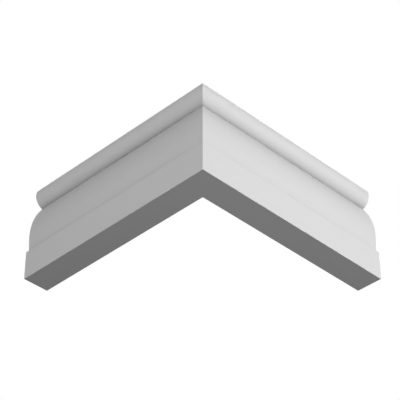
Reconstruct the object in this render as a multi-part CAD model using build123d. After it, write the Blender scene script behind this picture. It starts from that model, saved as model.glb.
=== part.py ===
# Skirting board, outside corner piece, moulded in one piece
# It wraps an outside corner of a wall. The origin is the wall's corner at the
# floor, +Z is up, and the two arms run along +X and +Y against the wall planes
# y = 0 and x = 0. All sizes are millimetres.

from build123d import *
import os

# Driving sizes of the whole piece
HEIGHT = 119.0  # floor to the flat top
BASE_THICKNESS = 30.0  # wall to the face of the plinth
ARM_LENGTH = 250.0  # outer corner to the cut end, along the face, both arms

# Driving sizes of the plinth
PLINTH_HEIGHT = 32.3  # floor to the ledge
LEDGE_DEPTH = 4.0  # how far the belly starts behind the plinth's face
ARRIS_RADIUS = 0.3  # easing of the plinth's two long arrises

# Driving sizes of the rounded belly
BELLY_THICKNESS = 27.6  # wall to the belly's fullest line
BELLY_HEIGHT = 52.2  # floor to the belly's fullest line

# Driving sizes of the neck and of the bead on top
NECK_THICKNESS = 14.1  # wall to the crease under the bead
BEAD_HEIGHT = 25.0  # crease to the flat top
BEAD_THICKNESS = 22.8  # wall to the bead's nose
BEAD_RADIUS = 11.5  # round shoulder between the nose and the flat top

# Length of each arm along the wall, from the wall's corner to the cut end
wall_length = ARM_LENGTH - BASE_THICKNESS


def section_outline():
    """The moulding's section: x is the distance out from the wall, y the height."""
    ledge_foot = (BASE_THICKNESS - LEDGE_DEPTH, PLINTH_HEIGHT)
    belly_front = (BELLY_THICKNESS, BELLY_HEIGHT)
    neck = (NECK_THICKNESS, HEIGHT - BEAD_HEIGHT)
    nose = (BEAD_THICKNESS, HEIGHT - BEAD_RADIUS)
    shoulder = (BEAD_THICKNESS - BEAD_RADIUS, HEIGHT)

    # Plinth: flat base, upright face and ledge, with both arrises eased
    base = Line((0, 0), (BASE_THICKNESS - ARRIS_RADIUS, 0))
    base_arris = TangentArc(
        base @ 1, (BASE_THICKNESS, ARRIS_RADIUS), tangent=(1, 0)
    )
    face = Line(base_arris @ 1, (BASE_THICKNESS, PLINTH_HEIGHT - ARRIS_RADIUS))
    ledge_arris = TangentArc(
        face @ 1, (BASE_THICKNESS - ARRIS_RADIUS, PLINTH_HEIGHT), tangent=(0, 1)
    )
    ledge = Line(ledge_arris @ 1, ledge_foot)

    # Belly: two arcs that meet upright at its fullest line
    lower_belly = TangentArc(belly_front, ledge_foot, tangent=(0, -1))
    upper_belly = TangentArc(belly_front, neck, tangent=(0, 1))

    # Bead: two arcs that meet upright at its nose
    lower_bead = TangentArc(nose, neck, tangent=(0, -1))
    upper_bead = TangentArc(nose, shoulder, tangent=(0, 1))

    # Flat top and flat back against the wall
    top = Line(shoulder, (0, HEIGHT))
    back = Line((0, HEIGHT), (0, 0))
    return [
        base,
        base_arris,
        face,
        ledge_arris,
        ledge,
        lower_belly,
        upper_belly,
        lower_bead,
        upper_bead,
        top,
        back,
    ]


def skirting_corner():
    """The section swept along one wall and round the mitre to the other wall."""
    end_plane = Plane(
        origin=(wall_length, 0, 0), x_dir=(0, -1, 0), z_dir=(-1, 0, 0)
    )
    section = end_plane * make_face(section_outline())
    wall_line = Polyline((wall_length, 0, 0), (0, 0, 0), (0, wall_length, 0))
    body = sweep(section, path=wall_line, transition=Transition.RIGHT)
    body = body.clean()
    body.label = "skirting_corner"
    return body


os.makedirs("parts", exist_ok=True)
export_step(skirting_corner(), "parts/skirting_corner.step")
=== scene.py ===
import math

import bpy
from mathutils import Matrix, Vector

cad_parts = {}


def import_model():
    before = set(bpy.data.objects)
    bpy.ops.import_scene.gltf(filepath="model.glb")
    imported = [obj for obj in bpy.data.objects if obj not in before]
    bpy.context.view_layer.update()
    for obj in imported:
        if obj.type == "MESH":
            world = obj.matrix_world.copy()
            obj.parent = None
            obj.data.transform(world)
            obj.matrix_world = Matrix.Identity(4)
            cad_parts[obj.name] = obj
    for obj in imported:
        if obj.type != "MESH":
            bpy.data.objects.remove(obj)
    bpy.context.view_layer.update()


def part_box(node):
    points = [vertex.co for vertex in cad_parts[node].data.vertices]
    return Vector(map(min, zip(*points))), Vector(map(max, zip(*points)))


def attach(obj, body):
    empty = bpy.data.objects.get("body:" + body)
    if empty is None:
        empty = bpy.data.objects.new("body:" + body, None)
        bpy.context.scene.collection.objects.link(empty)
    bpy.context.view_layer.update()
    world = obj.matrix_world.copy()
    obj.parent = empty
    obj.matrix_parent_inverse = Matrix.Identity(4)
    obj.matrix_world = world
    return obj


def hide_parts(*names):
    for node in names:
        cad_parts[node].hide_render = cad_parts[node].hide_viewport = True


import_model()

# Outside corner piece of skirting, in primed white, stood on a pale floor
# Lengths are metres in the frame of the CAD part: the wall's corner at the floor
# is the origin, the arms run along +X and +Y, and +Z is up.

CAD_NODE = "skirting_corner"

# Whole sizes, read from the frame
low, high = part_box(CAD_NODE)
HEIGHT = high.z
BASE_THICKNESS = -low.x
WALL_LENGTH = high.x

# Section sizes: the solid's, with the neck and the bead read again from renders
PLINTH_HEIGHT = 0.0323
LEDGE_DEPTH = 0.0040
BELLY_THICKNESS = 0.0276
BELLY_HEIGHT = 0.0522
NECK_THICKNESS = 0.0138
BEAD_HEIGHT = 0.0247
BEAD_THICKNESS = 0.0228
BEAD_RADIUS = 0.0115

# Easings: the long arrises, the creases, the mitre and the rims of the cut ends
ARRIS_RADIUS = 0.00030
CREASE_RADIUS = 0.00004
MITRE_RADIUS = 0.00020
RIM_RADIUS = 0.00020

# How finely round stretches are divided
ARC_STEP = math.radians(2.5)
EASING_STEPS = 4
ARM_STEPS = 10


# Section: points out from the wall and up, each with its outward direction

def upright_arc(front, end):
    """The arc that stands upright at its front point and ends at end, front first."""
    sag = front.x - end.x
    rise = end.y - front.y
    radius = (sag * sag + rise * rise) / (2 * sag)
    centre = Vector((front.x - radius, front.y))
    turn = math.asin(rise / radius)
    steps = max(2, math.ceil(abs(turn) / ARC_STEP))
    outward = [
        Vector((math.cos(turn * i / steps), math.sin(turn * i / steps)))
        for i in range(steps + 1)
    ]
    return [(centre + radius * way, way) for way in outward]


def eased_corner(corner, arriving, leaving, radius):
    """A small arc in place of a corner, for a path that has its solid on the left."""
    turn = math.atan2(arriving.cross(leaving), arriving.dot(leaving))
    side = math.copysign(1.0, turn)
    start = corner - arriving * radius * math.tan(abs(turn) / 2)
    first = Vector((arriving.y, -arriving.x))
    centre = start - first * radius * side
    points = []
    for i in range(EASING_STEPS + 1):
        angle = turn * i / EASING_STEPS
        way = Vector((
            first.x * math.cos(angle) - first.y * math.sin(angle),
            first.x * math.sin(angle) + first.y * math.cos(angle),
        ))
        points.append((centre + way * radius * side, way))
    return points


def along(outward):
    """The way that the path runs where its outward direction is given."""
    return Vector((-outward.y, outward.x))


def section():
    """The whole closed section, from the foot of the back round to the back again."""
    out, up = Vector((1, 0)), Vector((0, 1))
    ledge_foot = Vector((BASE_THICKNESS - LEDGE_DEPTH, PLINTH_HEIGHT))
    belly_front = Vector((BELLY_THICKNESS, BELLY_HEIGHT))
    neck = Vector((NECK_THICKNESS, HEIGHT - BEAD_HEIGHT))
    nose = Vector((BEAD_THICKNESS, HEIGHT - BEAD_RADIUS))
    shoulder = Vector((BEAD_THICKNESS - BEAD_RADIUS, HEIGHT))

    lower_belly = upright_arc(belly_front, ledge_foot)[::-1]
    upper_belly = upright_arc(belly_front, neck)
    lower_bead = upright_arc(nose, neck)[::-1]
    upper_bead = upright_arc(nose, shoulder)

    belly_foot_way = along(lower_belly[0][1])
    belly_top_way = along(upper_belly[-1][1])
    bead_foot_way = along(lower_bead[0][1])

    points = []
    points += eased_corner(Vector((0, 0)), -up, out, ARRIS_RADIUS)
    points += eased_corner(Vector((BASE_THICKNESS, 0)), out, up, ARRIS_RADIUS)
    points += eased_corner(
        Vector((BASE_THICKNESS, PLINTH_HEIGHT)), up, -out, ARRIS_RADIUS
    )
    points += eased_corner(ledge_foot, -out, belly_foot_way, CREASE_RADIUS)
    points += lower_belly[1:]
    points += upper_belly[1:-1]
    points += eased_corner(neck, belly_top_way, bead_foot_way, CREASE_RADIUS)
    points += lower_bead[1:]
    points += upper_bead[1:]
    points += eased_corner(Vector((0, HEIGHT)), -out, -up, ARRIS_RADIUS)
    return points


# Rings: the section as it stands at each station from one cut end to the other

def rim_ring(points, angle):
    """The section where the +X arm's cut end turns into its rim."""
    inset = RIM_RADIUS * (1 - math.cos(angle))
    reach = WALL_LENGTH - RIM_RADIUS * (1 - math.sin(angle))
    ring = []
    for place, way in points:
        inner = place - way * inset
        normal = (math.sin(angle), -way.x * math.cos(angle), way.y * math.cos(angle))
        ring.append(((reach, -inner.x, inner.y), normal))
    return ring


def arm_ring(points, share):
    """The section at a share of the way from the +X arm's rim to the mitre's easing."""
    start = WALL_LENGTH - RIM_RADIUS
    ring = []
    for place, way in points:
        finish = MITRE_RADIUS - place.x
        x = start + (finish - start) * share
        ring.append(((x, -place.x, place.y), (0.0, -way.x, way.y)))
    return ring


def mitre_ring(points, angle):
    """The section turned by an angle round the mitre's eased edge."""
    east, north = math.sin(angle), math.cos(angle)
    ring = []
    for place, way in points:
        centre = MITRE_RADIUS - place.x
        x = centre - MITRE_RADIUS * east
        y = centre - MITRE_RADIUS * north
        ring.append(((x, y, place.y), (-way.x * east, -way.x * north, way.y)))
    return ring


def mirrored(ring):
    """The same ring on the other arm, across the plane x = y."""
    return [((p[1], p[0], p[2]), (n[1], n[0], n[2])) for p, n in ring]


def moulding_rings():
    """All rings, from the +X arm's end round the corner to the +Y arm's end."""
    points = section()
    quarter = math.pi / 2
    arm = [
        rim_ring(points, quarter * (1 - i / EASING_STEPS)) for i in range(EASING_STEPS)
    ]
    arm += [arm_ring(points, i / ARM_STEPS) for i in range(ARM_STEPS + 1)]
    turn = [
        mitre_ring(points, quarter * i / EASING_STEPS) for i in range(1, EASING_STEPS)
    ]
    return arm + turn + [mirrored(ring) for ring in reversed(arm)]


def moulding():
    """The skirting piece as one closed mesh, smooth wherever the section is."""
    rings = moulding_rings()
    count = len(rings[0])
    vertices = [place for ring in rings for place, normal in ring]
    normals = [normal for ring in rings for place, normal in ring]
    faces = []
    for r in range(len(rings) - 1):
        near, far = r * count, (r + 1) * count
        for i in range(count):
            j = (i + 1) % count
            faces.append((near + i, near + j, far + j, far + i))
    last = (len(rings) - 1) * count
    faces.append(tuple(range(count - 1, -1, -1)))
    faces.append(tuple(range(last, last + count)))
    mesh = bpy.data.meshes.new("skirting_moulding")
    mesh.from_pydata(vertices, [], faces)
    mesh.shade_smooth()
    mesh.normals_split_custom_set_from_vertices(normals)
    mesh.validate(clean_customdata=False)
    piece = bpy.data.objects.new("skirting_moulding", mesh)
    bpy.context.scene.collection.objects.link(piece)
    return piece


# Finish: smooth matt white primer, sprayed on a moulded polymer
# Noise scales are in features per metre, and bump depths in metres.

PRIMER_COLOUR = (0.80, 0.80, 0.80, 1)
PRIMER_SHADE = (0.785, 0.785, 0.785, 1)
CLOUD_SCALE, CLOUD_DETAIL = 22.0, 4.0
PEEL_SCALE, PEEL_DETAIL = 420.0, 2.0
GRAIN_SCALE, GRAIN_DETAIL = 2600.0, 2.0
PEEL_DEPTH = 0.000012
GRAIN_DEPTH = 0.000003
ROUGHNESS_LOW, ROUGHNESS_HIGH = 0.70, 0.80
SPECULAR_LEVEL = 0.18


def noise(tree, coordinates, scale, detail):
    """A noise of the given scale, in features per metre, over object coordinates."""
    node = tree.nodes.new("ShaderNodeTexNoise")
    node.inputs["Scale"].default_value = scale
    node.inputs["Detail"].default_value = detail
    tree.links.new(coordinates, node.inputs["Vector"])
    return node.outputs["Fac"]


def primer():
    """Primed surface: faint clouding, fine orange peel and a fine grain."""
    material = bpy.data.materials.new("primed_polymer")
    material.use_nodes = True
    tree = material.node_tree
    shader = tree.nodes["Principled BSDF"]
    shader.inputs["Specular IOR Level"].default_value = SPECULAR_LEVEL
    coordinates = tree.nodes.new("ShaderNodeTexCoord").outputs["Object"]

    clouds = noise(tree, coordinates, CLOUD_SCALE, CLOUD_DETAIL)
    peel = noise(tree, coordinates, PEEL_SCALE, PEEL_DETAIL)
    grain = noise(tree, coordinates, GRAIN_SCALE, GRAIN_DETAIL)

    tint = tree.nodes.new("ShaderNodeMix")
    tint.data_type = "RGBA"
    tint.inputs["A"].default_value = PRIMER_SHADE
    tint.inputs["B"].default_value = PRIMER_COLOUR
    tree.links.new(clouds, tint.inputs["Factor"])
    tree.links.new(tint.outputs["Result"], shader.inputs["Base Color"])

    roughness = tree.nodes.new("ShaderNodeMapRange")
    roughness.inputs["To Min"].default_value = ROUGHNESS_LOW
    roughness.inputs["To Max"].default_value = ROUGHNESS_HIGH
    tree.links.new(peel, roughness.inputs["Value"])
    tree.links.new(roughness.outputs["Result"], shader.inputs["Roughness"])

    peel_bump = tree.nodes.new("ShaderNodeBump")
    peel_bump.inputs["Distance"].default_value = PEEL_DEPTH
    tree.links.new(peel, peel_bump.inputs["Height"])
    grain_bump = tree.nodes.new("ShaderNodeBump")
    grain_bump.inputs["Distance"].default_value = GRAIN_DEPTH
    tree.links.new(grain, grain_bump.inputs["Height"])
    tree.links.new(peel_bump.outputs["Normal"], grain_bump.inputs["Normal"])
    tree.links.new(grain_bump.outputs["Normal"], shader.inputs["Normal"])
    return material


# Floor: pale, seen from above only, so that a camera below it looks past it
# The glow is a share of what the camera sees there, so that no shadow is black.

FLOOR_COLOUR = (0.60, 0.60, 0.60, 1)
FLOOR_ROUGHNESS = 0.9
FLOOR_GLOW = 0.50
FLOOR_GLOW_SHARE = 0.45
FLOOR_SIZE = 12.0
FLOOR_GAP = 0.0004
CARD_GAP = 0.0005
CARD_INSET = 0.0030


def seen_directly(tree):
    """One for rays of the camera, of gloss and through glass, and nought for light."""
    path = tree.nodes.new("ShaderNodeLightPath")
    total = path.outputs["Is Camera Ray"]
    for ray in ("Is Glossy Ray", "Is Transmission Ray"):
        either = tree.nodes.new("ShaderNodeMath")
        either.operation = "MAXIMUM"
        tree.links.new(total, either.inputs[0])
        tree.links.new(path.outputs[ray], either.inputs[1])
        total = either.outputs["Value"]
    return total


def level_sheet(name, near, far, gap):
    """A level square from near to far on both axes, at a gap under the piece."""
    mesh = bpy.data.meshes.new(name)
    corners = [(near, near), (far, near), (far, far), (near, far)]
    mesh.from_pydata([(x, y, -gap) for x, y in corners], [], [(0, 1, 2, 3)])
    sheet = bpy.data.objects.new(name, mesh)
    bpy.context.scene.collection.objects.link(sheet)
    sheet.visible_diffuse = False
    sheet.visible_glossy = False
    return sheet


def floor():
    """A wide level sheet just under the piece. It takes shadows and lights nothing."""
    sheet = level_sheet("floor", -FLOOR_SIZE / 2, FLOOR_SIZE / 2, FLOOR_GAP)
    sheet.visible_shadow = False

    material = bpy.data.materials.new("floor")
    material.use_nodes = True
    tree = material.node_tree
    shader = tree.nodes["Principled BSDF"]
    shader.inputs["Base Color"].default_value = FLOOR_COLOUR
    shader.inputs["Roughness"].default_value = FLOOR_ROUGHNESS
    glow = tree.nodes.new("ShaderNodeEmission")
    glow.inputs["Strength"].default_value = FLOOR_GLOW
    share = tree.nodes.new("ShaderNodeMath")
    share.operation = "MULTIPLY"
    share.inputs[1].default_value = FLOOR_GLOW_SHARE
    tree.links.new(seen_directly(tree), share.inputs[0])
    pale = tree.nodes.new("ShaderNodeMixShader")
    tree.links.new(share.outputs["Value"], pale.inputs["Fac"])
    tree.links.new(shader.outputs["BSDF"], pale.inputs[1])
    tree.links.new(glow.outputs["Emission"], pale.inputs[2])

    clear = tree.nodes.new("ShaderNodeBsdfTransparent")
    side = tree.nodes.new("ShaderNodeNewGeometry")
    mix = tree.nodes.new("ShaderNodeMixShader")
    tree.links.new(side.outputs["Backfacing"], mix.inputs["Fac"])
    tree.links.new(pale.outputs["Shader"], mix.inputs[1])
    tree.links.new(clear.outputs["BSDF"], mix.inputs[2])
    output = tree.nodes["Material Output"]
    tree.links.new(mix.outputs["Shader"], output.inputs["Surface"])
    sheet.data.materials.append(material)
    return sheet


def card():
    """Keeps the light that comes from below the floor off the piece's inner faces."""
    sheet = level_sheet("card", CARD_INSET, FLOOR_SIZE / 2, CARD_GAP)
    sheet.visible_camera = False
    sheet.visible_transmission = False
    return sheet


# Light: round studio lamps from below the floor's level, as in the photograph, and
# far lamps over and behind the piece. Each has a name, the side it comes from and its
# height in degrees, its distance in metres unless it is far, its strength at the piece
# and the angle that it fills there in degrees.

AIM = Vector((-0.030, -0.030, 0.060))
LAMPS = (
    ("key", 26.6, -6.1, 1.30, 1.302, 6.0),
    ("front", 355.0, -8.9, 1.35, 1.325, 11.0),
    ("fill", 273.0, -7.5, 1.34, 1.270, 6.0),
    ("low", 315.5, -61.9, 5.96, 0.299, 24.0),
)
FAR_LAMPS = (
    ("top", 315.0, 80.0, 0.25, 60.0),
    ("back right", 115.0, 28.0, 2.3, 40.0),
    ("back left", 145.0, 37.0, 2.1, 40.0),
)
WORLD_LIGHT = 0.03
WHITE = 1.0


def towards(azimuth, elevation):
    """The way from the piece to a lamp. Azimuth 0 shines along +Y, 90 along -X."""
    a, e = math.radians(azimuth), math.radians(elevation)
    return Vector((math.sin(a) * math.cos(e), -math.cos(a) * math.cos(e), math.sin(e)))


def placed(light, way, place):
    """A lamp that shines back along its way, with no bounced light."""
    light.cycles.max_bounces = 0
    holder = bpy.data.objects.new(light.name, light)
    holder.location = place
    holder.rotation_mode = "QUATERNION"
    holder.rotation_quaternion = (-way).to_track_quat("-Z", "Y")
    holder.visible_camera = False
    bpy.context.scene.collection.objects.link(holder)


def disc_lamp(name, azimuth, elevation, distance, strength, softness):
    """A round soft lamp at a distance from the piece, aimed at its middle."""
    light = bpy.data.lights.new(name, "AREA")
    light.shape = "DISK"
    light.size = 2 * distance * math.tan(math.radians(softness) / 2)
    light.energy = strength * math.pi * distance ** 2
    way = towards(azimuth, elevation)
    placed(light, way, AIM + way * distance)


def far_lamp(name, azimuth, elevation, strength, softness):
    """A soft lamp so far off that it lights the whole floor evenly."""
    light = bpy.data.lights.new(name, "SUN")
    light.energy = strength
    light.angle = math.radians(softness)
    placed(light, towards(azimuth, elevation), AIM)


def world():
    """Even light from all round, and plain white where the camera sees it."""
    made = bpy.data.worlds.new("studio")
    made.use_nodes = True
    tree = made.node_tree
    seen = tree.nodes["Background"]
    light = tree.nodes.new("ShaderNodeBackground")
    for background, strength in ((seen, WHITE), (light, WORLD_LIGHT)):
        background.inputs["Color"].default_value = (1, 1, 1, 1)
        background.inputs["Strength"].default_value = strength
    mix = tree.nodes.new("ShaderNodeMixShader")
    tree.links.new(seen_directly(tree), mix.inputs["Fac"])
    tree.links.new(light.outputs["Background"], mix.inputs[1])
    tree.links.new(seen.outputs["Background"], mix.inputs[2])
    output = tree.nodes["World Output"]
    tree.links.new(mix.outputs["Shader"], output.inputs["Surface"])
    bpy.context.scene.world = made


# Camera: below the piece and in front of its corner, looking up

CAMERA_PLACE = Vector((-0.85917, -0.85557, -0.91285))
CAMERA_RISE = math.radians(36.884)
CAMERA_LENS = 147.75


def camera():
    """The photograph's viewing angle, in the vertical plane through the mitre."""
    data = bpy.data.cameras.new("camera")
    data.lens = CAMERA_LENS
    holder = bpy.data.objects.new("camera", data)
    level = math.cos(CAMERA_RISE) * math.sqrt(0.5)
    ahead = Vector((level, level, math.sin(CAMERA_RISE)))
    holder.location = CAMERA_PLACE
    holder.rotation_mode = "QUATERNION"
    holder.rotation_quaternion = ahead.to_track_quat("-Z", "Y")
    bpy.context.scene.collection.objects.link(holder)
    bpy.context.scene.camera = holder


piece = moulding()
piece.data.materials.append(primer())
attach(piece, "root")
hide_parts(CAD_NODE)
floor()
card()
for values in LAMPS:
    disc_lamp(*values)
for values in FAR_LAMPS:
    far_lamp(*values)
world()
camera()
bpy.context.scene.view_settings.view_transform = "Standard"

bpy.context.view_layer.update()
